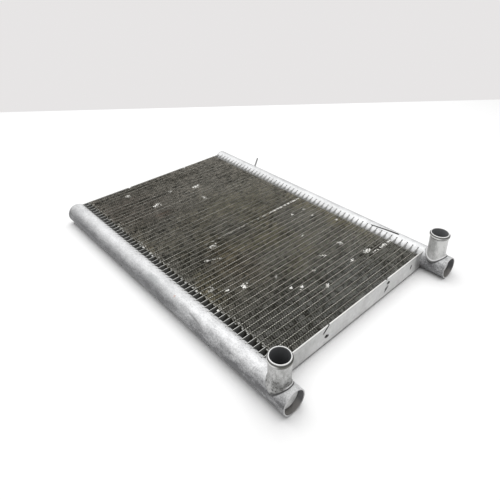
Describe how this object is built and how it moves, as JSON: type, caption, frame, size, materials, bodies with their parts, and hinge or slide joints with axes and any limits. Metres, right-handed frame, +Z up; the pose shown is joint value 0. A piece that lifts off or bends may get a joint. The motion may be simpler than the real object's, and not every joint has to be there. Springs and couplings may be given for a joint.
{
  "type": "engine radiator",
  "caption": "All-aluminium crossflow engine radiator: flat-tube and fin core between two round header tanks, with two beaded hose spigots.",
  "frame": {"origin": "on the floor under the middle of the radiator as it lies on its two tanks", "axes": "+X along the flat tubes from the left tank to the right one, +Y along the tanks from the hose end to the capped end, +Z up, the way the hose spigots point"},
  "size_m": [0.389, 0.567, 0.0727],
  "materials": {
    "tank_aluminium": "satin, stained",
    "plug_aluminium": "satin",
    "spigot_aluminium": "satin, worn",
    "plate_aluminium": "satin",
    "tube_aluminium": "dull, dusty",
    "fin_aluminium": "dull, caked with road dirt",
    "pin_metal": "dull",
    "seal_rubber": "matt"
  },
  "bodies": {
    "root": {"left_header_tank": "tank_aluminium", "right_header_tank": "tank_aluminium", "end_plugs": "plug_aluminium", "far_caps": "tank_aluminium", "hose_spigots": "spigot_aluminium", "near_side_plate": "plate_aluminium", "far_side_plate": "plate_aluminium", "flat_tubes_01": "tube_aluminium", "flat_tubes_02": "tube_aluminium", "flat_tubes_03": "tube_aluminium", "flat_tubes_04": "tube_aluminium", "flat_tubes_05": "tube_aluminium", "flat_tubes_06": "tube_aluminium", "flat_tubes_07": "tube_aluminium", "flat_tubes_08": "tube_aluminium", "flat_tubes_09": "tube_aluminium", "flat_tubes_10": "tube_aluminium", "flat_tubes_11": "tube_aluminium", "flat_tubes_12": "tube_aluminium", "flat_tubes_13": "tube_aluminium", "flat_tubes_14": "tube_aluminium", "flat_tubes_15": "tube_aluminium", "flat_tubes_16": "tube_aluminium", "flat_tubes_17": "tube_aluminium", "flat_tubes_18": "tube_aluminium", "flat_tubes_19": "tube_aluminium", "flat_tubes_20": "tube_aluminium", "flat_tubes_21": "tube_aluminium", "flat_tubes_22": "tube_aluminium", "flat_tubes_23": "tube_aluminium", "flat_tubes_24": "tube_aluminium", "flat_tubes_25": "tube_aluminium", "flat_tubes_26": "tube_aluminium", "fin_rows_01": "fin_aluminium", "fin_rows_02": "fin_aluminium", "fin_rows_03": "fin_aluminium", "fin_rows_04": "fin_aluminium", "fin_rows_05": "fin_aluminium", "fin_rows_06": "fin_aluminium", "fin_rows_07": "fin_aluminium", "fin_rows_08": "fin_aluminium", "fin_rows_09": "fin_aluminium", "fin_rows_10": "fin_aluminium", "fin_rows_11": "fin_aluminium", "fin_rows_12": "fin_aluminium", "fin_rows_13": "fin_aluminium", "fin_rows_14": "fin_aluminium", "fin_rows_15": "fin_aluminium", "fin_rows_16": "fin_aluminium", "fin_rows_17": "fin_aluminium", "fin_rows_18": "fin_aluminium", "locating_pin": "pin_metal", "seal_scrap": "seal_rubber"}
  },
  "joints": []
}
